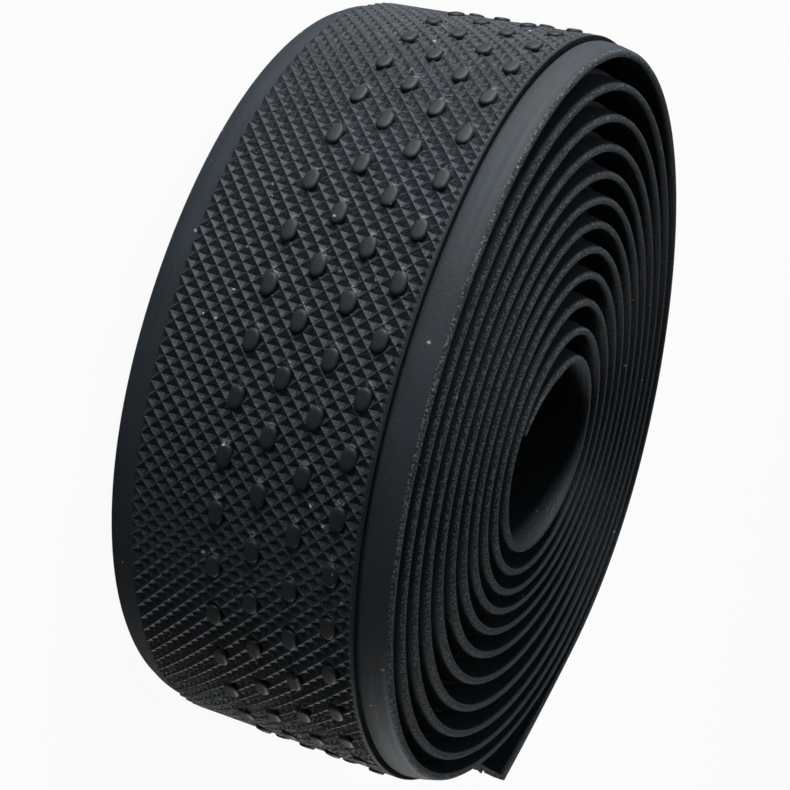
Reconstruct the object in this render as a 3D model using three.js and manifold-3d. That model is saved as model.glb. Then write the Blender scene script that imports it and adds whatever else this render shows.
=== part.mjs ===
// Handlebar tape wound into a roll and stood on one edge. It is one strip of soft foam rubber, with no core
// and no end plugs. Millimetres, +Z up. The strip's smooth face looks towards the middle of the roll, and
// its textured face outwards. Angles run clockwise from the -Y side, seen from above, as the strip does.
import * as THREE from "three";
import { mergeVertices } from "three/addons/utils/BufferGeometryUtils.js";
import Module from "manifold-3d";

// The strip, laid flat
const TAPE_WIDTH = 30;
const LOWER_MARGIN = 2.9; // smooth border along the lower edge
const UPPER_MARGIN = 3.3; // smooth border along the upper edge
const RISER_WIDTH = 0.35; // foot of the step up to the textured middle
const EDGE_THICKNESS = 0.85; // at the cut edge
const MARGIN_THICKNESS = 1.3; // at the foot of the step
const MIDDLE_THICKNESS = 1.75; // the textured middle, without its dots
const END_SLANT = 10; // degrees that the outer end is cut off square

// The winding
const TURNS = 11.69;
const START_ANGLE = 105;
const CORE_RADIUS = 8.5; // smooth face at the start, on average
const CORE_SHIFT = 0.49; // towards the -Y side
const CORE_SIDE = 1.05; // towards the +X side
const CORE_OVAL = 0.53; // wider along X than along Y
const CORE_SKEW = 0.67; // wider along the line from -X -Y to +X +Y
const TURN_GAP = 0.86; // between the back of a turn and the smooth face over it, on average
const TOP_GAP = 0.195; // more at the +Y side, less at the -Y side
const SIDE_GAP = 0.06; // more at the -X side, less at the +X side
const OVAL_GAP = 0.102; // more at +Y and -Y, less at the two sides
const LOBE_GAP = 0.074; // more on three sides, one of them +Y
const TOP_SWING = 0.68; // turns crowd and spread over the +Y side by this much
const TOP_PERIOD = 11.2; // turns from one crowding there to the next
const BOTTOM_SWING = 0.58; // the same over the -Y side
const BOTTOM_PERIOD = 7.6;
const BOTTOM_LEAD = 0.5; // turns
const TAIL_LIFT = 4; // the outer end springs this far off the roll
const TAIL_ANGLE = 30; // degrees of the last turn that lift

// The raised dots, in rows along the strip
const DOT_ROWS = 4;
const DOT_ROW_SPACING = 4.03;
const DOT_ROWS_OFFSET = 3.2; // of the rows' middle from the strip's middle, upwards
const DOT_PITCH = 5.38; // along a row; every second row is half a pitch on
const DOT_LENGTH = 2.25;
const DOT_WIDTH = 1.5;
const DOT_HEIGHT = 0.28;
const DOT_DRAFT = 0.15; // how much narrower its flat top is, all round
const DOT_ROOT = 0.3; // depth below the surface
const FIRST_DOT = 5.82; // from the outer end's upper corner

// Fineness
const CHORD_ERROR = 0.11; // how far a facet's middle lies off the true curve
const CORNER_STEPS = 2; // facets round each end of a dot

const FULL_TURN = 2 * Math.PI;
const radians = THREE.MathUtils.degToRad;

// The strip's section: height across the strip and distance out from its smooth face.
const upperStep = TAPE_WIDTH - UPPER_MARGIN;
const section = [
  [0, 0],
  [0, EDGE_THICKNESS],
  [LOWER_MARGIN, MARGIN_THICKNESS],
  [LOWER_MARGIN + RISER_WIDTH, MIDDLE_THICKNESS],
  [upperStep - RISER_WIDTH, MIDDLE_THICKNESS],
  [upperStep, MARGIN_THICKNESS],
  [TAPE_WIDTH, EDGE_THICKNESS],
  [TAPE_WIDTH, 0],
];

// The smooth face seen from above, as a curve of the number of turns from the inner end: a spiral that grows
// by the strip's thickness and a gap each turn. The gap changes round the roll, so the roll is slightly oval.
class Winding extends THREE.Curve {
  angle(turn) {
    return radians(START_ANGLE) + FULL_TURN * turn;
  }

  radius(turn) {
    const angle = this.angle(turn);
    const core =
      CORE_RADIUS +
      CORE_SHIFT * Math.cos(angle) -
      CORE_SIDE * Math.sin(angle) -
      CORE_OVAL * Math.cos(2 * angle) +
      CORE_SKEW * Math.sin(2 * angle);
    const gap =
      TURN_GAP -
      TOP_GAP * Math.cos(angle) +
      SIDE_GAP * Math.sin(angle) +
      OVAL_GAP * Math.cos(2 * angle) -
      LOBE_GAP * Math.cos(3 * angle);
    const topShare = ((1 - Math.cos(angle)) / 2) ** 3;
    const bottomShare = ((1 + Math.cos(angle)) / 2) ** 3;
    const overTop = TOP_SWING * Math.sin((FULL_TURN * turn) / TOP_PERIOD);
    const overBottom = BOTTOM_SWING * Math.sin((FULL_TURN * (turn + BOTTOM_LEAD)) / BOTTOM_PERIOD);
    const intoTail = Math.max(0, 1 - ((TURNS - turn) * 360) / TAIL_ANGLE);
    const wound = core + (MIDDLE_THICKNESS + gap) * turn;
    return wound + topShare * overTop + bottomShare * overBottom + TAIL_LIFT * intoTail ** 2;
  }

  getPoint(turn, target = new THREE.Vector3()) {
    const angle = this.angle(turn);
    const radius = this.radius(turn);
    return target.set(-radius * Math.sin(angle), -radius * Math.cos(angle), 0);
  }

  // The way along the strip, and the way out from its smooth face.
  frame(turn) {
    const step = 1e-4;
    const along = this.getPoint(turn + step).sub(this.getPoint(turn - step)).normalize();
    return { along, out: new THREE.Vector3(-along.y, along.x, 0) };
  }
}
const winding = new Winding();

// A point of the strip: height across it, and distance out from its smooth face.
function onStrip(turn, height, outward) {
  return winding.getPoint(turn).addScaledVector(winding.frame(turn).out, outward).setZ(height);
}

// The outer end is cut on a slant, so the strip is shorter at its lower edge. The stations before the end
// lean over little by little.
const endRadius = winding.radius(TURNS);
const LEAN_LENGTH = 14;
function leaning(turn, height) {
  const toEnd = (TURNS - turn) * FULL_TURN * endRadius;
  const lean = Math.max(0, 1 - toEnd / LEAN_LENGTH);
  const cutBack = Math.tan(radians(END_SLANT)) * (TAPE_WIDTH - height);
  return turn - (lean * cutBack) / (FULL_TURN * endRadius);
}

// Places half a dot's pitch apart on the outermost turn, which is the one with nothing wound over it. They
// are counted back from the outer end.
function halfPitches() {
  const turns = [];
  let turn = TURNS - FIRST_DOT / (FULL_TURN * endRadius);
  while (turn > TURNS - 1) {
    turns.push(turn);
    turn -= DOT_PITCH / 2 / (FULL_TURN * (winding.radius(turn) + MIDDLE_THICKNESS));
  }
  return turns;
}

// Where the strip's cross-sections lie: between the dots on the outermost turn, and closer together where
// the strip is wound tighter.
function stations() {
  const places = halfPitches();
  const betweenDots = [];
  for (let i = 0; i + 1 < places.length; i += 2) {
    betweenDots.push((places[i] + places[i + 1]) / 2);
  }
  const outermost = betweenDots.reverse();
  const inner = [0];
  for (let turn = 0; turn < outermost[0]; ) {
    const outside = winding.radius(turn) + MIDDLE_THICKNESS;
    turn += (2 * Math.acos(1 - CHORD_ERROR / outside)) / FULL_TURN;
    inner.push(turn);
  }
  const stretch = outermost[0] / inner[inner.length - 1];
  return [...inner.map((turn) => turn * stretch), ...outermost.slice(1), TURNS];
}

// The strip as one closed surface: the section carried along the winding, with a flat cap at each end.
function strip() {
  const turns = stations();
  const corners = turns.flatMap((turn) =>
    section.map(([height, outward]) => onStrip(leaning(turn, height), height, outward)),
  );
  const count = section.length;
  const faces = [];
  for (let i = 0; i + 1 < turns.length; i++) {
    for (let j = 0; j < count; j++) {
      const here = i * count + j;
      const beside = i * count + ((j + 1) % count);
      faces.push(here, beside, here + count, beside, beside + count, here + count);
    }
  }
  const outline = section.map(([height, outward]) => new THREE.Vector2(height, outward));
  const lastSection = (turns.length - 1) * count;
  for (const [a, b, c] of THREE.ShapeUtils.triangulateShape(outline, [])) {
    faces.push(a, b, c);
    faces.push(lastSection + a, lastSection + c, lastSection + b);
  }
  const geometry = new THREE.BufferGeometry().setFromPoints(corners);
  geometry.setIndex(faces);
  return geometry;
}

// One dot on its back: a pill-shaped outline, drawn in evenly from its root to a flat top. X runs along the
// strip.
function dot() {
  const straight = (DOT_LENGTH - DOT_WIDTH) / 2;
  const outline = (inset) => {
    const radius = DOT_WIDTH / 2 - inset;
    const points = [];
    for (const side of [1, -1]) {
      for (let i = 0; i <= CORNER_STEPS; i++) {
        const angle = side * Math.PI * 0.5 * ((2 * i) / CORNER_STEPS - 1);
        points.push(new THREE.Vector2(side * (straight + radius * Math.cos(angle)), radius * Math.sin(angle)));
      }
    }
    return points;
  };
  const levels = [
    [-DOT_ROOT, (-DOT_ROOT * DOT_DRAFT) / DOT_HEIGHT],
    [DOT_HEIGHT, DOT_DRAFT],
  ];
  const rings = levels.map(([height, inset]) =>
    outline(inset).map((p) => new THREE.Vector3(p.x, p.y, height)),
  );
  const count = rings[0].length;
  const faces = [];
  for (let i = 0; i + 1 < rings.length; i++) {
    for (let j = 0; j < count; j++) {
      const here = i * count + j;
      const beside = i * count + ((j + 1) % count);
      faces.push(here, beside, here + count, beside, beside + count, here + count);
    }
  }
  const top = (rings.length - 1) * count;
  for (let j = 1; j + 1 < count; j++) {
    faces.push(0, j + 1, j);
    faces.push(top, top + j, top + j + 1);
  }
  return new THREE.BufferGeometry().setFromPoints(rings.flat()).setIndex(faces);
}

// The dots stand on the outermost turn, each row's dots beside the gaps of the next row.
function dotPlaces() {
  const lowestRow = TAPE_WIDTH / 2 + DOT_ROWS_OFFSET - ((DOT_ROWS - 1) * DOT_ROW_SPACING) / 2;
  return halfPitches().flatMap((turn, step) => {
    const { along, out } = winding.frame(turn);
    const across = new THREE.Vector3().crossVectors(out, along);
    const places = [];
    for (let row = step % 2; row < DOT_ROWS; row += 2) {
      const middle = onStrip(turn, lowestRow + row * DOT_ROW_SPACING, MIDDLE_THICKNESS);
      places.push(new THREE.Matrix4().makeBasis(along, across, out).setPosition(middle));
    }
    return places;
  });
}

const wasm = await Module();
wasm.setup();

function toSolid(geometry) {
  const bare = new THREE.BufferGeometry();
  bare.setAttribute("position", geometry.getAttribute("position"));
  bare.setIndex(geometry.getIndex());
  const merged = mergeVertices(bare, 1e-4);
  return new wasm.Manifold(
    new wasm.Mesh({
      numProp: 3,
      vertProperties: merged.getAttribute("position").array,
      triVerts: new Uint32Array(merged.getIndex().array),
    }),
  );
}

function toGeometry(solid) {
  const { vertProperties, triVerts } = solid.getMesh();
  const geometry = new THREE.BufferGeometry();
  geometry.setAttribute("position", new THREE.BufferAttribute(vertProperties, 3));
  geometry.setIndex(new THREE.BufferAttribute(triVerts, 1));
  return geometry;
}

const oneDot = dot();
let solid = toSolid(strip());
for (const place of dotPlaces()) {
  solid = solid.add(toSolid(oneDot.clone().applyMatrix4(place)));
}
const tapeGeometry = toGeometry(solid);

// The roll stands over the middle of its own footprint.
tapeGeometry.computeBoundingBox();
const footprint = tapeGeometry.boundingBox.getCenter(new THREE.Vector3());
tapeGeometry.translate(-footprint.x, -footprint.y, 0);
tapeGeometry.computeVertexNormals();

const foamRubber = new THREE.MeshStandardMaterial({ color: 0x26292c, roughness: 0.72, metalness: 0 });
const tape = new THREE.Mesh(tapeGeometry, foamRubber);
tape.name = "tape";

const group = new THREE.Group();
group.add(tape);
export default group;
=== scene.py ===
"""The looks of a roll of handlebar tape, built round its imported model.

The tape is one strip of soft foam rubber, wound with its smooth face inwards and stood on one edge. Its back
has a smooth margin along each edge and a pitted tread between them, and the outermost turn carries rows of
dots. Lengths are millimetres until a mesh is made, and a mesh is in metres. The winding is worked out about
its own middle. Its angles run clockwise from the -Y side, seen from above, as the strip does. Angles that are
named values are in degrees.
"""

import math

import bpy
import numpy as np
from mathutils import Matrix, Vector


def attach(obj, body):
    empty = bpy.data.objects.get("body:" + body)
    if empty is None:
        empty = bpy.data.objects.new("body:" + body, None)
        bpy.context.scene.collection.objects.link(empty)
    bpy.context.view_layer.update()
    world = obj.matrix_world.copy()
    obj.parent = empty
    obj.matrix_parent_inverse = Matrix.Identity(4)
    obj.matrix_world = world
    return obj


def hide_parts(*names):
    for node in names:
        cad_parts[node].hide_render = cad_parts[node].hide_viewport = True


bl_info = {
    "name": "Handlebar Tape Roll",
    "version": (1, 0, 0),
    "blender": (4, 5, 0),
    "location": "View3D > Sidebar > Tape Roll",
    "description": "Makes the tread, dots, rubber and studio of a roll of handlebar tape",
    "category": "Add Mesh",
}

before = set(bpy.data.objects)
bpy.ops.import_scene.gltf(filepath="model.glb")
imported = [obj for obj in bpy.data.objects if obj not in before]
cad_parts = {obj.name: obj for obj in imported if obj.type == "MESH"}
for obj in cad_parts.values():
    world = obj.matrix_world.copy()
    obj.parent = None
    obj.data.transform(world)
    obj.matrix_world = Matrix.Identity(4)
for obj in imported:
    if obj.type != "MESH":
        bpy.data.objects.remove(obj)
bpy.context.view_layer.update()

MM = 0.001

# The strip, laid flat
TAPE_WIDTH = 30
LOWER_MARGIN = 2.9
UPPER_MARGIN = 3.3
MIDDLE_THICKNESS = 1.75
END_SLANT = 10
LEAN_LENGTH = 14

# The strip's section, from its smooth face round one cut edge: the distance in from the edge, and the
# distance out from the smooth face
EDGE_PROFILE = [(0.1, 0), (0, 0.1), (0, 0.36), (0.08, 0.6), (0.27, 0.77), (0.62, 0.88)]

# The margins, each up to the tread: the distance back from the margin's own width, and the distance out. They
# have equally many points. The lower one meets the open ends of the pits, and the upper one has a groove
# under the tread's clean edge.
LOWER_FOOT = [(1.7, 1.17), (1, 1.28), (0.6, 1.32), (0.3, 1.35), (0.1, 1.37), (0, 1.38), (-0.1, 1.42)]
UPPER_FOOT = [(1.7, 1.14), (0.6, 1.26), (0.38, 1.22), (0.33, 0.85), (-0.1, 0.78), (0.03, 1.68), (-0.05, 1.75)]
TREAD_START = LOWER_MARGIN + 0.25
TREAD_END = TAPE_WIDTH - UPPER_MARGIN - 0.15

# Counted from each edge, the faces after the first and before this one are cut foam
CUT_COLUMNS = 4

# The points of each margin, and of the tread beside it, that the turns under the outermost one keep
UNDER_MARGIN = [0, 1, 2, 3, 4, 5, 6, 7, 9, 11, 12]
UNDER_TREAD = [0, 2, 4]

# The tread: square pits between thin crossing ridges, with a mesh point at each quarter of a pit
RIDGE_PITCH_ALONG = 1.67
PIT_COUNT_ACROSS = 14.5
PIT_HOLLOW = 0.8
QUARTERS = 4

# The inner end lies thin against the turn that covers it
THIN_LENGTH = 10
THIN_SHARE = 0.88

# The winding
TURNS = 11.69
START_ANGLE = 105
CORE_RADIUS = 8.5
CORE_SHIFT = 0.49
CORE_SIDE = 1.05
CORE_OVAL = 0.53
CORE_SKEW = 0.67
TURN_GAP = 0.86
TOP_GAP = 0.195
SIDE_GAP = 0.06
OVAL_GAP = 0.102
LOBE_GAP = 0.074
TOP_SWING = 0.68
TOP_PERIOD = 11.2
BOTTOM_SWING = 0.58
BOTTOM_PERIOD = 7.6
BOTTOM_LEAD = 0.5
TAIL_LIFT = 4
TAIL_ANGLE = 30
FOOTPRINT_MIDDLE = (0.981, 0.715)

# Turns, counted back from the outer end, on which the strip's back is open to view
OPEN_TURNS = 1.09

# Steps in which the strip's length is measured, and the crease from which its mesh is shaded as an edge
LENGTH_STEPS = 40000
SHARP_ANGLE = 38

# The raised dots
DOT_ROWS = 4
DOT_ROW_SPACING = 4.03
DOT_ROWS_OFFSET = 3.2
DOT_PITCH = 5.38
DOT_LENGTH = 2.25
DOT_WIDTH = 1.5
FIRST_DOT = 5.82
DOT_CORNERS = 6

# Each dot has a painted highlight of pale foam grains on the tread at its upper end: how far on it lies, and
# its reach along and across
DOT_HIGHLIGHT_SHIFT = 0.2
DOT_HIGHLIGHT_REACH = (1.1, 0.95)

# The dot's side, from its root to its flat top: height as a share of the dot's own, and distance in from
# its outline
DOT_PROFILE = [(-1.1, -0.04), (0.45, 0.03), (0.8, 0.14), (0.95, 0.31)]
DOT_TOP = 0.55

# The camera, at the photograph's viewing angle
CAMERA_PLACE = (-163.46, 41.81, 82.51)
CAMERA_HEADING = 104.29
CAMERA_DIP = 23.04
CAMERA_ROLL = 104.56
CAMERA_LENS = 75.27
SENSOR_WIDTH = 36

# The studio, in metres and watts: each lamp's place, width, height and power
FLOOR_SIZE = 6
LAMPS = {
    "key": ((0.05, 0.5, 0.06), 0.3, 0.1, 3.3),
    "side": ((-0.2, 0.46, 0.036), 0.2, 0.06, 2.5),
    "low": ((0.08, -0.47, 0.06), 0.3, 0.1, 1.5),
    "top": ((0.1, 0.15, 0.6), 0.4, 0.4, 1.2),
}

# How bright the floor and the world are by themselves, to the camera, in reflections and as light on the
# roll, and the floor's grey as the camera sees it and as it lights the roll
FLOOR_GLOW = 0.94
MIRRORED_GLOW = 0.1
EVEN_LIGHT = 0.02
FLOOR_SEEN = (0.9, 0.9, 0.9)
FLOOR_BOUNCE = (0.4, 0.4, 0.4)

# The finishes. A texture's scale is how many of its cells lie along a metre, and the most dust is the share
# of its cells that hold a speck when the amount is 1. A speck's radius, as a share of its cell, is the
# smallest plus up to the spread.
SPECULAR_LEVEL = 0.26
PATCH_SCALE = 120
DOT_PATCH_SCALE = 300
STREAK_SCALE = 2500
STREAK_STRETCH = 0.02
FOAM_GRAIN_SCALE = 4200
FINE_GRAIN_SCALE = 6000
COARSE_GRAIN_SCALE = 1800
DUST_SCALE = 1500
DUST_FOAM_SCALE = 1400
DUST_RAGGED_SCALE = 5000
DUST_RAGGEDNESS = 0.4 * MM
DUST_MOST = 0.04
DUST_SMALLEST = 0.1
DUST_SPREAD = 0.17
DUST_COLOR = (0.35, 0.35, 0.34)
DUST_FOAM_COLOR = (0.3, 0.3, 0.3)

FULL_TURN = 2 * math.pi


class TapeRollSettings(bpy.types.PropertyGroup):
    """Sizes and colours of the tape that a user would change."""

    pit_depth: bpy.props.FloatProperty(
        name="Pit depth",
        description="Depth of the tread's pits below its ridges",
        default=0.4 * MM,
        min=0,
        precision=5,
        unit="LENGTH",
    )
    dot_height: bpy.props.FloatProperty(
        name="Dot height",
        description="Height of a dot above the tread's ridges",
        default=0.28 * MM,
        min=0,
        precision=5,
        unit="LENGTH",
    )
    rubber_color: bpy.props.FloatVectorProperty(
        name="Rubber",
        description="Colour of the moulded skin",
        default=(0.0095, 0.0135, 0.0175),
        min=0,
        max=1,
        subtype="COLOR",
    )
    # Also the colour of the painted highlight at each dot's upper end
    foam_and_highlight_color: bpy.props.FloatVectorProperty(
        name="Cut foam",
        description="Colour of the grains that show where the strip is cut",
        default=(0.085, 0.097, 0.107),
        min=0,
        max=1,
        subtype="COLOR",
    )
    dust_amount: bpy.props.FloatProperty(
        name="Dust",
        description="How many pale specks lie on the rubber",
        default=0.5,
        min=0,
        max=1,
        subtype="FACTOR",
    )


def winding_angle(turn):
    """The start angle and a full turn for each turn wound."""
    return math.radians(START_ANGLE) + FULL_TURN * turn


def winding_radius(turn):
    """Distance of the smooth face from the winding's middle.

    It is the core's radius, plus the strip's thickness and a gap for each turn, plus swings on the +Y and -Y
    sides where the turns crowd and spread, plus the lift of the outer end. The core and the gap change round
    the roll by the cosines and sines of the angle and of two and three times the angle.
    """
    angle = winding_angle(turn)
    core = CORE_RADIUS + CORE_SHIFT * np.cos(angle) - CORE_SIDE * np.sin(angle)
    core = core - CORE_OVAL * np.cos(2 * angle) + CORE_SKEW * np.sin(2 * angle)
    gap = TURN_GAP - TOP_GAP * np.cos(angle) + SIDE_GAP * np.sin(angle)
    gap = gap + OVAL_GAP * np.cos(2 * angle) - LOBE_GAP * np.cos(3 * angle)
    top_share = ((1 - np.cos(angle)) / 2) ** 3
    bottom_share = ((1 + np.cos(angle)) / 2) ** 3
    over_top = TOP_SWING * np.sin(FULL_TURN * turn / TOP_PERIOD)
    over_bottom = BOTTOM_SWING * np.sin(FULL_TURN * (turn + BOTTOM_LEAD) / BOTTOM_PERIOD)
    into_tail = np.maximum(0, 1 - (TURNS - turn) * 360 / TAIL_ANGLE)
    wound = core + (MIDDLE_THICKNESS + gap) * turn
    return wound + top_share * over_top + bottom_share * over_bottom + TAIL_LIFT * into_tail**2


def winding_point(turn):
    """The smooth face seen from above: the radius, turned clockwise from -Y by the angle."""
    angle = winding_angle(turn)
    away = np.stack([np.sin(angle), np.cos(angle)], axis=-1)
    return -winding_radius(turn)[..., None] * away


def strip_axes(turn):
    """The way along the strip and the way out from its smooth face, a quarter turn to its left."""
    step = 1e-4
    along = winding_point(turn + step) - winding_point(turn - step)
    along /= np.linalg.norm(along, axis=-1, keepdims=True)
    return along, np.stack([-along[..., 1], along[..., 0]], axis=-1)


def strip_points(turn, height, outward):
    """Points of the strip: the winding at a turn, moved out from the smooth face, at a height across it."""
    turn, height, outward = np.broadcast_arrays(turn, height, outward)
    flat = winding_point(turn) + strip_axes(turn)[1] * outward[..., None]
    return np.concatenate([flat - FOOTPRINT_MIDDLE, height[..., None]], axis=-1)


def end_radius():
    """Radius of the smooth face at the outer end."""
    return float(winding_radius(np.array(float(TURNS))))


def leaning(turn, height):
    """Turns of a cross-section that leans, more and more towards the outer end, which is cut on a slant.

    The lean is the slant's tangent times the distance below the strip's upper edge.
    """
    to_end = (TURNS - turn) * FULL_TURN * end_radius()
    lean = np.maximum(0, 1 - to_end / LEAN_LENGTH)
    cut_back = math.tan(math.radians(END_SLANT)) * (TAPE_WIDTH - height)
    return turn - lean * cut_back / (FULL_TURN * end_radius())


def lengths_along():
    """Turns, and the length of the strip's back from its inner end to each of them."""
    turn = np.linspace(0, TURNS, LENGTH_STEPS + 1)
    back = strip_points(turn, 0, MIDDLE_THICKNESS)
    step = np.linalg.norm(np.diff(back, axis=0), axis=1)
    return turn, np.concatenate([[0], np.cumsum(step)])


def cross_sections():
    """The cross-sections' turns, lengths along the strip, and numbers counted from the outer end.

    They lie a quarter of a pit apart where the strip's back is open to view, and a whole pit apart under it.
    The last value is the number where the two meet.
    """
    turn, length = lengths_along()
    whole = length[-1]
    last = QUARTERS * round(whole / RIDGE_PITCH_ALONG)
    open_share = 1 - np.interp(TURNS - OPEN_TURNS, turn, length) / whole
    junction = QUARTERS * round(last * open_share / QUARTERS)
    under = np.arange(junction, last + 1, QUARTERS)
    number = np.concatenate([np.arange(junction), under])[::-1]
    along = whole * (1 - number / last)
    return np.interp(along, length, turn), along, number, junction


def pit_share(number, column):
    """How deep a point of the tread lies, from 0 on a ridge to 1 in the middle of a pit.

    The ridges run where the sum or the difference of the two counts, in half pits, is even. The share is
    the distance to the nearer of the two ridge families, raised to a power that hollows the pit.
    """
    rising = (number + column) / 2 % 2
    falling = (number - column) / 2 % 2
    nearest = np.minimum(1 - np.abs(rising - 1), 1 - np.abs(falling - 1))
    return nearest**PIT_HOLLOW


def pitted_columns(tread):
    """Which columns have pits: all of the tread's but its clean upper edge."""
    return (tread >= 0) & (tread < tread.max())


def sunk(outward, depth, number, tread, along):
    """Distance out of every point: the section's, less the depth of the pit there.

    At the strip's inner end the section closes in on its back, by a share that falls off evenly to nothing.
    """
    pits = np.where(pitted_columns(tread), pit_share(number[:, None], tread), 0)
    outward = outward - depth * pits
    thinning = THIN_SHARE * np.maximum(0, 1 - along / THIN_LENGTH)[:, None]
    return outward + (MIDDLE_THICKNESS - outward) * thinning


def margin_profile(width, foot):
    """The section from the smooth face round one cut edge and over a margin of this width."""
    return np.array([*EDGE_PROFILE, *((width - back, outward) for back, outward in foot)], float)


def section_columns():
    """Height and distance out of each point round the section, and its tread column, or -1 on the margins."""
    tread_columns = np.arange(int(PIT_COUNT_ACROSS * QUARTERS) + 1)
    tread = np.linspace(TREAD_START, TREAD_END, len(tread_columns))
    lower = margin_profile(LOWER_MARGIN, LOWER_FOOT)
    upper = margin_profile(UPPER_MARGIN, UPPER_FOOT)[::-1]
    height = np.concatenate([lower[:, 0], tread, TAPE_WIDTH - upper[:, 0]])
    middle = np.full(len(tread), MIDDLE_THICKNESS)
    outward = np.concatenate([lower[:, 1], middle, upper[:, 1]])
    none = np.full(len(lower), -1)
    return height, outward, np.concatenate([none, tread_columns, none])


def kept_columns(columns):
    """The columns that the turns under the outermost one keep, the same ones from both edges."""
    margin_columns = len(EDGE_PROFILE) + len(LOWER_FOOT)
    half = np.array([*UNDER_MARGIN, *(margin_columns + column for column in UNDER_TREAD)])
    return np.concatenate([half, columns - 1 - half[::-1]])


def skin(index, split):
    """Two triangles for each cell of a grid of vertex numbers, closed round its columns.

    split says which cells' diagonals run from their first corner.
    """
    here, beside = index[:-1], np.roll(index[:-1], -1, axis=1)
    after, across = index[1:], np.roll(index[1:], -1, axis=1)
    split = split[:, :, None]
    first = np.where(split, np.stack([here, beside, across], -1), np.stack([here, beside, after], -1))
    second = np.where(split, np.stack([here, across, after], -1), np.stack([beside, across, after], -1))
    return np.stack([first, second], axis=2)


def cut_faces(columns):
    """Which faces round a section of this many columns are cut foam."""
    face = np.arange(columns)
    from_edge = np.minimum(face, columns - 2 - face)
    return (from_edge >= 1) & (from_edge < CUT_COLUMNS)


def junction_faces(row, kept):
    """Polygons that close the step from few columns to many.

    Each runs from one kept column of the row to the next, and back over the columns between them.
    """
    gaps = [(left, right) for left, right in zip(kept, kept[1:]) if right > left + 1]
    return [[*row[[left, right]].tolist(), *row[left + 1 : right][::-1].tolist()] for left, right in gaps]


def new_piece(name, vertices, faces, materials):
    """A mesh object from vertices in millimetres, riding on the roll and standing for its CAD solid."""
    mesh = bpy.data.meshes.new(name)
    mesh.from_pydata((vertices * MM).tolist(), [], faces)
    for material in materials:
        mesh.materials.append(material)
    mesh.validate()
    piece = bpy.data.objects.new(name, mesh)
    bpy.context.scene.collection.objects.link(piece)
    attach(piece, "root")
    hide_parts("tape")
    return piece


def add_values(mesh, name, values):
    """One number or one vector for each vertex, that a material reads by name."""
    kind, field = ("FLOAT", "value") if values.ndim == 1 else ("FLOAT_VECTOR", "vector")
    attribute = mesh.attributes.new(name, kind, "POINT")
    attribute.data.foreach_set(field, values.astype(np.float32).ravel())


def dot_turns():
    """Turns half a dot's pitch apart on the outermost turn, counted back from the outer end."""
    turns = []
    turn = TURNS - FIRST_DOT / (FULL_TURN * end_radius())
    while turn > TURNS - 1:
        turns.append(turn)
        radius = float(winding_radius(np.array(turn)))
        turn -= DOT_PITCH / 2 / (FULL_TURN * (radius + MIDDLE_THICKNESS))
    return np.array(turns)


def dot_places():
    """Turn and height of every dot. Each row's dots stand beside the gaps of the next row."""
    turns = dot_turns()
    step = np.arange(len(turns))
    rows = np.arange(DOT_ROWS)
    used = (rows[None, :] - step[:, None]) % 2 == 0
    lowest = TAPE_WIDTH / 2 + DOT_ROWS_OFFSET - (DOT_ROWS - 1) * DOT_ROW_SPACING / 2
    height = np.broadcast_to(lowest + rows * DOT_ROW_SPACING, used.shape)[used]
    return np.broadcast_to(turns[:, None], used.shape)[used], height


def dot_highlight_share(along, height):
    """1 at the middle of the painted highlight at a dot's upper end, falling to 0 where an ellipse of its
    reach ends.
    """
    turn, dot_height = dot_places()
    middle = np.interp(turn, *lengths_along()) + DOT_LENGTH / 2 + DOT_HIGHLIGHT_SHIFT
    ahead = (along[:, None, None] - middle) / DOT_HIGHLIGHT_REACH[0]
    aside = (height[None, :, None] - dot_height) / DOT_HIGHLIGHT_REACH[1]
    return np.maximum(0, 1 - np.sqrt((ahead**2 + aside**2).min(axis=2)))


def dot_shape(height):
    """One dot, level by level: a pill-shaped outline drawn in towards a flat top. X runs along the strip.

    Each end is half a circle. The straight part between them shortens once the circle's radius is under a
    third of the dot's width.
    """
    angle = np.linspace(-0.5, 0.5, DOT_CORNERS + 1) * math.pi
    straight = (DOT_LENGTH - DOT_WIDTH) / 2
    levels = []
    for share, inset in [*DOT_PROFILE, (1, DOT_TOP)]:
        radius = DOT_WIDTH / 2 - inset
        x = straight * min(1, radius / DOT_WIDTH * 3) + radius * np.cos(angle)
        y = radius * np.sin(angle)
        end = np.stack([x, y, np.full_like(x, share * height)], axis=-1)
        levels.append(np.concatenate([end, end * (-1, -1, 1)]))
    return np.array(levels)


def node_group(name, inputs, outputs):
    """An empty shader node group with named sockets, and its input and output nodes."""
    group = bpy.data.node_groups.new(name, "ShaderNodeTree")
    for label, kind, default in inputs:
        socket = group.interface.new_socket(label, in_out="INPUT", socket_type=kind)
        if default is not None:
            socket.default_value = default
    for label, kind in outputs:
        group.interface.new_socket(label, in_out="OUTPUT", socket_type=kind)
    return group, group.nodes.new("NodeGroupInput"), group.nodes.new("NodeGroupOutput")


def calculate(tree, operation, *values):
    """A Math node with these numbers or sockets as its inputs. Returns its output."""
    node = tree.nodes.new("ShaderNodeMath")
    node.operation = operation
    for socket, value in zip(node.inputs, values):
        if isinstance(value, (int, float)):
            socket.default_value = value
        else:
            tree.links.new(value, socket)
    return node.outputs[0]


def ramp(tree, value, low, high):
    """A value brought from 0 at low to 1 at high, smoothly."""
    node = tree.nodes.new("ShaderNodeMapRange")
    node.interpolation_type = "SMOOTHSTEP"
    node.inputs["From Min"].default_value = low
    node.inputs["From Max"].default_value = high
    tree.links.new(value, node.inputs["Value"])
    return node.outputs["Result"]


def noise(tree, vector, scale, detail=2):
    """A Noise Texture on these coordinates. Returns its Fac output."""
    node = tree.nodes.new("ShaderNodeTexNoise")
    node.inputs["Scale"].default_value = scale
    node.inputs["Detail"].default_value = detail
    tree.links.new(vector, node.inputs["Vector"])
    return node.outputs["Fac"]


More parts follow.
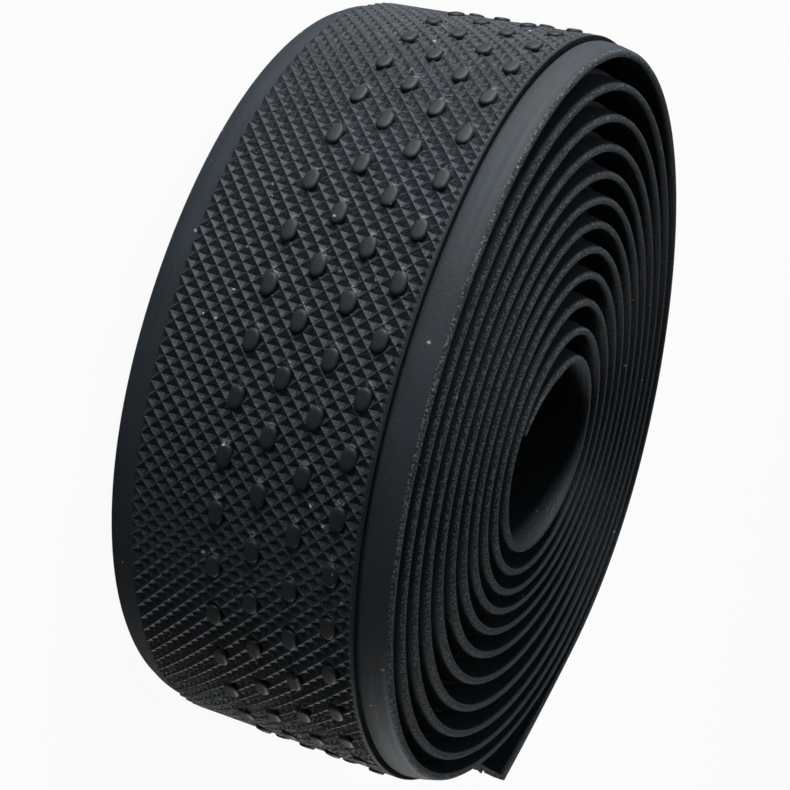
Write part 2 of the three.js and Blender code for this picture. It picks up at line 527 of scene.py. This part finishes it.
def blend_colors(tree, share, first, second):
    """The first colour where the share is 0 and the second where it is 1."""
    node = tree.nodes.new("ShaderNodeMix")
    node.data_type = "RGBA"
    tree.links.new(share, node.inputs["Factor"])
    for socket, value in ((node.inputs[6], first), (node.inputs[7], second)):
        if isinstance(value, bpy.types.NodeSocket):
            tree.links.new(value, socket)
        else:
            socket.default_value = (*value[:3], 1)
    return node.outputs[2]


def dust_group():
    """Dust: a mask of a few small ragged specks, each a blob of random size in a cell picked by chance."""
    group, given, result = node_group(
        "dust",
        [
            ("Vector", "NodeSocketVector", None),
            ("Amount", "NodeSocketFloat", 0.5),
            ("Scale", "NodeSocketFloat", DUST_SCALE),
        ],
        [("Mask", "NodeSocketFloat")],
    )
    ragged = group.nodes.new("ShaderNodeTexNoise")
    ragged.inputs["Scale"].default_value = DUST_RAGGED_SCALE
    group.links.new(given.outputs["Vector"], ragged.inputs["Vector"])
    moved = group.nodes.new("ShaderNodeVectorMath")
    moved.operation = "MULTIPLY_ADD"
    group.links.new(ragged.outputs["Color"], moved.inputs[0])
    moved.inputs[1].default_value = (DUST_RAGGEDNESS, DUST_RAGGEDNESS, DUST_RAGGEDNESS)
    group.links.new(given.outputs["Vector"], moved.inputs[2])
    cells = group.nodes.new("ShaderNodeTexVoronoi")
    group.links.new(moved.outputs["Vector"], cells.inputs["Vector"])
    group.links.new(given.outputs["Scale"], cells.inputs["Scale"])
    chance = group.nodes.new("ShaderNodeSeparateColor")
    group.links.new(cells.outputs["Color"], chance.inputs["Color"])
    rare = calculate(group, "MULTIPLY", given.outputs["Amount"], DUST_MOST)
    picked = calculate(group, "LESS_THAN", chance.outputs["Red"], rare)
    size = calculate(group, "MULTIPLY_ADD", chance.outputs["Green"], DUST_SPREAD, DUST_SMALLEST)
    inside = calculate(group, "LESS_THAN", cells.outputs["Distance"], size)
    group.links.new(calculate(group, "MULTIPLY", picked, inside), result.inputs["Mask"])


def grain_group():
    """Grain: two sizes of fine noise added together, as the height of a moulded or foamed surface."""
    group, given, result = node_group(
        "grain",
        [("Vector", "NodeSocketVector", None), ("Coarse", "NodeSocketFloat", 0.5)],
        [("Height", "NodeSocketFloat")],
    )
    fine = noise(group, given.outputs["Vector"], FINE_GRAIN_SCALE)
    coarse = noise(group, given.outputs["Vector"], COARSE_GRAIN_SCALE, 3)
    weighted = calculate(group, "MULTIPLY", coarse, given.outputs["Coarse"])
    group.links.new(calculate(group, "ADD", fine, weighted), result.inputs["Height"])


def new_material(name):
    """A material with one Principled BSDF. Returns its node tree, its shader and its Object coordinates."""
    material = bpy.data.materials.new(name)
    material.use_nodes = True
    tree = material.node_tree
    shader = tree.nodes["Principled BSDF"]
    shader.inputs["Specular IOR Level"].default_value = SPECULAR_LEVEL
    place = tree.nodes.new("ShaderNodeTexCoord").outputs["Object"]
    return tree, shader, place


def placed(tree, group, vector, **values):
    """A node group in a tree, on these coordinates and with its own values. Returns its first output."""
    node = tree.nodes.new("ShaderNodeGroup")
    node.node_tree = bpy.data.node_groups[group]
    tree.links.new(vector, node.inputs["Vector"])
    for label, value in values.items():
        node.inputs[label].default_value = value
    return node.outputs[0]


def bump(tree, shader, height, distance, strength):
    """A Bump node from this height to the shader's Normal."""
    node = tree.nodes.new("ShaderNodeBump")
    node.inputs["Distance"].default_value = distance
    node.inputs["Strength"].default_value = strength
    tree.links.new(height, node.inputs["Height"])
    tree.links.new(node.outputs["Normal"], shader.inputs["Normal"])


def vertex_values(tree, name):
    """An Attribute node that reads the mesh's own values of this name."""
    node = tree.nodes.new("ShaderNodeAttribute")
    node.attribute_name = name
    return node


def lengthwise_streaks(tree, strip):
    """Noise on the strip's own coordinates, drawn out along it."""
    stretched = tree.nodes.new("ShaderNodeMapping")
    stretched.inputs["Scale"].default_value = (STREAK_STRETCH, 1, 1)
    tree.links.new(strip, stretched.inputs["Vector"])
    return noise(tree, stretched.outputs["Vector"], STREAK_SCALE, 3)


def foam_grains_and_dot_highlights(tree, place, strip, margin):
    """Where pale foam grains show through the skin, and where they are painted as a highlight.

    Beside a cut edge the share of grains is high, and at a dot's upper end they are a painted highlight; the
    share falls off away from them.
    """
    grains = noise(tree, place, FOAM_GRAIN_SCALE, 3)
    across = tree.nodes.new("ShaderNodeSeparateXYZ")
    tree.links.new(strip, across.inputs["Vector"])
    far_edge = calculate(tree, "SUBTRACT", TAPE_WIDTH * MM, across.outputs["Y"])
    edge = calculate(tree, "MINIMUM", across.outputs["Y"], far_edge)
    by_edge = ramp(tree, calculate(tree, "MULTIPLY_ADD", edge, -0.5 / MM, grains), 0.42, 0.6)
    # Painted highlight: pale grains at each dot's upper end
    dot_highlight = vertex_values(tree, "dot_highlight").outputs["Fac"]
    by_dots = ramp(tree, calculate(tree, "MULTIPLY_ADD", dot_highlight, 0.5, grains), 0.74, 0.9)
    return calculate(tree, "ADD", calculate(tree, "MULTIPLY", by_edge, margin), by_dots)


def dusted(tree, place, tone, settings, strength, color, **values):
    """A tone with pale specks of dust on it."""
    specks = placed(tree, "dust", place, Amount=settings.dust_amount, **values)
    return blend_colors(tree, calculate(tree, "MULTIPLY", specks, strength), tone, color)


def skin_rubber(settings):
    """Moulded skin: near-black rubber with faint lengthwise streaks, duller and smoother on the margins, with
    a painted highlight of pale grains at each dot's upper end.
    """
    tree, shader, place = new_material("skin_rubber")
    margin = vertex_values(tree, "margin").outputs["Fac"]
    strip = vertex_values(tree, "strip").outputs["Vector"]
    streaks = lengthwise_streaks(tree, strip)
    patches = noise(tree, place, PATCH_SCALE, 4)
    rubber = tuple(settings.rubber_color)
    paler = tuple(value * 1.5 for value in rubber)
    tone = blend_colors(tree, ramp(tree, patches, 0.35, 0.7), rubber, paler)
    tone = blend_colors(tree, ramp(tree, streaks, 0.35, 0.75), tone, paler)
    foam = foam_grains_and_dot_highlights(tree, place, strip, margin)
    tone = blend_colors(tree, foam, tone, tuple(settings.foam_and_highlight_color))
    color = dusted(tree, place, tone, settings, 0.6, DUST_COLOR)
    tree.links.new(color, shader.inputs["Base Color"])
    duller = calculate(tree, "MULTIPLY", margin, 0.14)
    varied = calculate(tree, "MULTIPLY_ADD", streaks, 0.3, 0.4)
    tree.links.new(calculate(tree, "ADD", varied, duller), shader.inputs["Roughness"])
    grain = placed(tree, "grain", place, Coarse=1.2)
    scored = calculate(tree, "MULTIPLY_ADD", streaks, 0.8, grain)
    smoother = calculate(tree, "MULTIPLY_ADD", margin, -0.8, 1)
    bump(tree, shader, calculate(tree, "MULTIPLY", scored, smoother), 0.13 * MM, 0.8)


def dot_rubber(settings):
    """The dots: the same rubber, a little darker."""
    tree, shader, place = new_material("dot_rubber")
    rubber = tuple(value * 0.6 for value in settings.rubber_color)
    patches = ramp(tree, noise(tree, place, DOT_PATCH_SCALE, 3), 0.35, 0.7)
    tone = blend_colors(tree, patches, rubber, tuple(value * 1.4 for value in rubber))
    tree.links.new(dusted(tree, place, tone, settings, 0.6, DUST_COLOR), shader.inputs["Base Color"])
    shader.inputs["Roughness"].default_value = 0.58
    bump(tree, shader, placed(tree, "grain", place, Coarse=0.4), 0.02 * MM, 0.5)


def cut_foam(settings):
    """Cut edges: foam opened by the knife, with pale grains between dark cells."""
    tree, shader, place = new_material("cut_foam")
    cells = noise(tree, place, FOAM_GRAIN_SCALE, 3)
    rubber = tuple(settings.rubber_color)
    tone = blend_colors(tree, ramp(tree, cells, 0.44, 0.64), rubber, tuple(settings.foam_and_highlight_color))
    color = dusted(tree, place, tone, settings, 0.5, DUST_FOAM_COLOR, Scale=DUST_FOAM_SCALE)
    tree.links.new(color, shader.inputs["Base Color"])
    shader.inputs["Roughness"].default_value = 0.8
    rough = calculate(tree, "MULTIPLY_ADD", placed(tree, "grain", place, Coarse=1.5), 0.3, cells)
    bump(tree, shader, rough, 0.15 * MM, 0.8)


class TAPEROLL_OT_materials(bpy.types.Operator):
    """Makes the shared dust and grain groups and the three rubbers"""

    bl_idname = "taperoll.materials"
    bl_label = "Rubbers"

    def execute(self, context):
        dust_group()
        grain_group()
        settings = context.scene.tape_roll
        skin_rubber(settings)
        dot_rubber(settings)
        cut_foam(settings)
        return {"FINISHED"}


class TAPEROLL_OT_tape(bpy.types.Operator):
    """Winds the strip with its margins, cut edges and pitted tread"""

    bl_idname = "taperoll.tape"
    bl_label = "Tape"

    def execute(self, context):
        depth = context.scene.tape_roll.pit_depth / MM
        turn, along, number, junction = cross_sections()
        height, outward, tread = section_columns()
        outward = sunk(outward, depth, number, tread, along)
        places = strip_points(leaning(turn[:, None], height), height, outward)

        # Rows that are open to view have all the section's columns, and the rows under them have a few
        columns = len(height)
        kept = kept_columns(columns)
        is_open = number <= junction
        is_under = ~is_open

        def joined(values):
            """Those of the whole grid's values that have a vertex, in the order of the vertices."""
            width = values.shape[2:]
            opened = values[is_open].reshape(-1, *width)
            under = values[is_under][:, kept].reshape(-1, *width)
            return np.concatenate([opened, under])

        open_index = np.arange(is_open.sum() * columns).reshape(-1, columns)
        under_index = open_index.size + np.arange(is_under.sum() * len(kept)).reshape(-1, len(kept))
        under_index = np.vstack([under_index, open_index[0, kept]])

        # Neighbouring cells are split along crossing diagonals, as the ridges run
        open_split = (number[is_open][:-1, None] + tread) % 2 == 0
        under_split = (number[is_under][:, None] + tread[kept]) // 2 % 2 == 0
        open_faces = skin(open_index, open_split)
        under_faces = skin(under_index, under_split)
        fills = junction_faces(open_index[0], kept)
        ends = [under_index[0][::-1].tolist(), open_index[-1].tolist()]
        sides = np.concatenate([open_faces.reshape(-1, 3), under_faces.reshape(-1, 3)])
        open_cut = np.broadcast_to(cut_faces(columns)[None, :, None], open_faces.shape[:3])
        under_cut = np.broadcast_to(cut_faces(len(kept))[None, :, None], under_faces.shape[:3])
        fills_and_ends = [False] * len(fills) + [True] * len(ends)
        cut = np.concatenate([open_cut.ravel(), under_cut.ravel(), fills_and_ends])

        rubbers = [bpy.data.materials["skin_rubber"], bpy.data.materials["cut_foam"]]
        tape = new_piece("tape_strip", joined(places), [*sides.tolist(), *fills, *ends], rubbers)
        mesh = tape.data
        mesh.polygons.foreach_set("material_index", cut.astype(np.int32))
        mesh.polygons.foreach_set("use_smooth", np.ones(len(mesh.polygons), bool))
        mesh.set_sharp_from_angle(angle=math.radians(SHARP_ANGLE))

        column = np.arange(columns)
        from_edge = np.minimum(column, columns - 1 - column)
        on_margin = (from_edge >= CUT_COLUMNS) & (tread < 0)
        grid = np.ones(places.shape[:2])
        # Share of the painted highlight at each dot's upper end, on the tread's pitted columns
        dot_highlight = np.zeros(places.shape[:2])
        dot_highlight[is_open] = dot_highlight_share(along[is_open], height) * pitted_columns(tread)
        flat = np.stack([grid * along[:, None], grid * height, outward], axis=-1) * MM
        add_values(mesh, "margin", joined(grid * on_margin))
        add_values(mesh, "dot_highlight", joined(dot_highlight))
        add_values(mesh, "strip", joined(flat))
        return {"FINISHED"}


class TAPEROLL_OT_dots(bpy.types.Operator):
    """Stands the dots on the outermost turn"""

    bl_idname = "taperoll.dots"
    bl_label = "Dots"

    def execute(self, context):
        shape = dot_shape(context.scene.tape_roll.dot_height / MM)
        levels, around = shape.shape[:2]
        turn, height = dot_places()
        middle = strip_points(turn, height, MIDDLE_THICKNESS)
        along, out = (np.append(axis, np.zeros((len(turn), 1)), axis=1) for axis in strip_axes(turn))
        up = np.cross(out, along)
        axes = np.stack([along, up, out], axis=1)
        points = middle[:, None, None] + np.einsum("lac,dcx->dlax", shape, axes)

        index = np.arange(points[..., 0].size).reshape(len(turn), levels, around)
        here, beside = index[:, :-1], np.roll(index[:, :-1], -1, axis=2)
        after, across = index[:, 1:], np.roll(index[:, 1:], -1, axis=2)
        sides = np.stack([here, beside, across, after], axis=-1).reshape(-1, 4)
        faces = [*sides.tolist(), *index[:, -1].tolist(), *index[:, 0, ::-1].tolist()]
        dots = new_piece("dots", points.reshape(-1, 3), faces, [bpy.data.materials["dot_rubber"]])
        dots.data.polygons.foreach_set("use_smooth", np.ones(len(faces), bool))
        return {"FINISHED"}


def soft_light(name, place, width, height, power):
    """A rectangular area light that faces the roll's middle."""
    light = bpy.data.lights.new(name, "AREA")
    light.shape = "RECTANGLE"
    light.size = width
    light.size_y = height
    light.energy = power
    lamp = bpy.data.objects.new(name, light)
    lamp.location = place
    aim = Vector((0, 0, TAPE_WIDTH / 2 * MM)) - lamp.location
    lamp.rotation_euler = aim.to_track_quat("-Z", "Y").to_euler()
    bpy.context.scene.collection.objects.link(lamp)


def floor_material():
    """Pale floor. The camera sees mostly its own white, so that the roll's shadow is faint."""
    material = bpy.data.materials.new("studio_floor")
    material.use_nodes = True
    tree = material.node_tree
    shader = tree.nodes["Principled BSDF"]
    shader.inputs["Roughness"].default_value = 0.9
    glow = tree.nodes.new("ShaderNodeEmission")
    mixed = tree.nodes.new("ShaderNodeMixShader")
    path = tree.nodes.new("ShaderNodeLightPath")
    grey = blend_colors(tree, path.outputs["Is Camera Ray"], FLOOR_BOUNCE, FLOOR_SEEN)
    tree.links.new(grey, shader.inputs["Base Color"])
    seen = calculate(tree, "ADD", path.outputs["Is Camera Ray"], path.outputs["Is Transmission Ray"])
    mirrored = calculate(tree, "MULTIPLY", path.outputs["Is Glossy Ray"], MIRRORED_GLOW)
    tree.links.new(calculate(tree, "MULTIPLY_ADD", seen, FLOOR_GLOW, mirrored), mixed.inputs["Fac"])
    tree.links.new(shader.outputs["BSDF"], mixed.inputs[1])
    tree.links.new(glow.outputs["Emission"], mixed.inputs[2])
    tree.links.new(mixed.outputs["Shader"], tree.nodes["Material Output"].inputs["Surface"])
    return material


def studio_world():
    """White to the camera, dimmer in reflections, and a faint even light on everything else."""
    world = bpy.data.worlds.new("studio")
    world.use_nodes = True
    tree = world.node_tree
    background = tree.nodes["Background"]
    background.inputs["Color"].default_value = (1, 1, 1, 1)
    path = tree.nodes.new("ShaderNodeLightPath")
    seen = calculate(tree, "ADD", path.outputs["Is Camera Ray"], path.outputs["Is Transmission Ray"])
    rest = calculate(tree, "MULTIPLY_ADD", path.outputs["Is Glossy Ray"], MIRRORED_GLOW, EVEN_LIGHT)
    strength = calculate(tree, "MULTIPLY_ADD", seen, 1 - EVEN_LIGHT, rest)
    tree.links.new(strength, background.inputs["Strength"])
    bpy.context.scene.world = world


def studio_floor():
    """A square floor under the roll."""
    corners = np.array([(-1, -1), (1, -1), (1, 1), (-1, 1)]) * FLOOR_SIZE / 2
    mesh = bpy.data.meshes.new("floor")
    mesh.from_pydata(np.append(corners, np.zeros((4, 1)), axis=1).tolist(), [], [(0, 1, 2, 3)])
    mesh.materials.append(floor_material())
    floor = bpy.data.objects.new("floor", mesh)
    bpy.context.scene.collection.objects.link(floor)


def photograph_camera():
    """The camera: turned clockwise from +Y to its heading, dipped, and rolled about its line of sight."""
    camera = bpy.data.cameras.new("camera")
    camera.lens = CAMERA_LENS
    camera.sensor_width = SENSOR_WIDTH
    camera.clip_start = 0.01
    holder = bpy.data.objects.new("camera", camera)
    heading = Matrix.Rotation(math.radians(-CAMERA_HEADING), 4, "Z")
    dip = Matrix.Rotation(math.radians(90 - CAMERA_DIP), 4, "X")
    roll = Matrix.Rotation(math.radians(CAMERA_ROLL), 4, "Z")
    place = Matrix.Translation(Vector(CAMERA_PLACE) * MM)
    holder.matrix_world = place @ heading @ dip @ roll
    bpy.context.scene.collection.objects.link(holder)
    bpy.context.scene.camera = holder


class TAPEROLL_OT_stage(bpy.types.Operator):
    """Sets up the pale floor, the soft lights and the camera"""

    bl_idname = "taperoll.stage"
    bl_label = "Studio"

    def execute(self, context):
        context.scene.view_settings.view_transform = "Standard"
        studio_floor()
        studio_world()
        for name, (place, width, height, power) in LAMPS.items():
            soft_light(name, place, width, height, power)
        photograph_camera()
        return {"FINISHED"}


class TAPEROLL_PT_panel(bpy.types.Panel):
    """Lists the roll's settings and the steps that build it"""

    bl_idname = "TAPEROLL_PT_panel"
    bl_label = "Handlebar Tape Roll"
    bl_space_type = "VIEW_3D"
    bl_region_type = "UI"
    bl_category = "Tape Roll"

    def draw(self, context):
        for name in TapeRollSettings.__annotations__:
            self.layout.prop(context.scene.tape_roll, name)
        for step in STEPS:
            self.layout.operator(step.bl_idname)


STEPS = (TAPEROLL_OT_materials, TAPEROLL_OT_tape, TAPEROLL_OT_dots, TAPEROLL_OT_stage)
CLASSES = (TapeRollSettings, *STEPS, TAPEROLL_PT_panel)


def register():
    for each in CLASSES:
        bpy.utils.register_class(each)
    bpy.types.Scene.tape_roll = bpy.props.PointerProperty(type=TapeRollSettings)


def unregister():
    del bpy.types.Scene.tape_roll
    for each in reversed(CLASSES):
        bpy.utils.unregister_class(each)


def main():
    register()
    bpy.ops.taperoll.materials()
    bpy.ops.taperoll.tape()
    bpy.ops.taperoll.dots()
    bpy.ops.taperoll.stage()


if __name__ == "__main__":
    main()
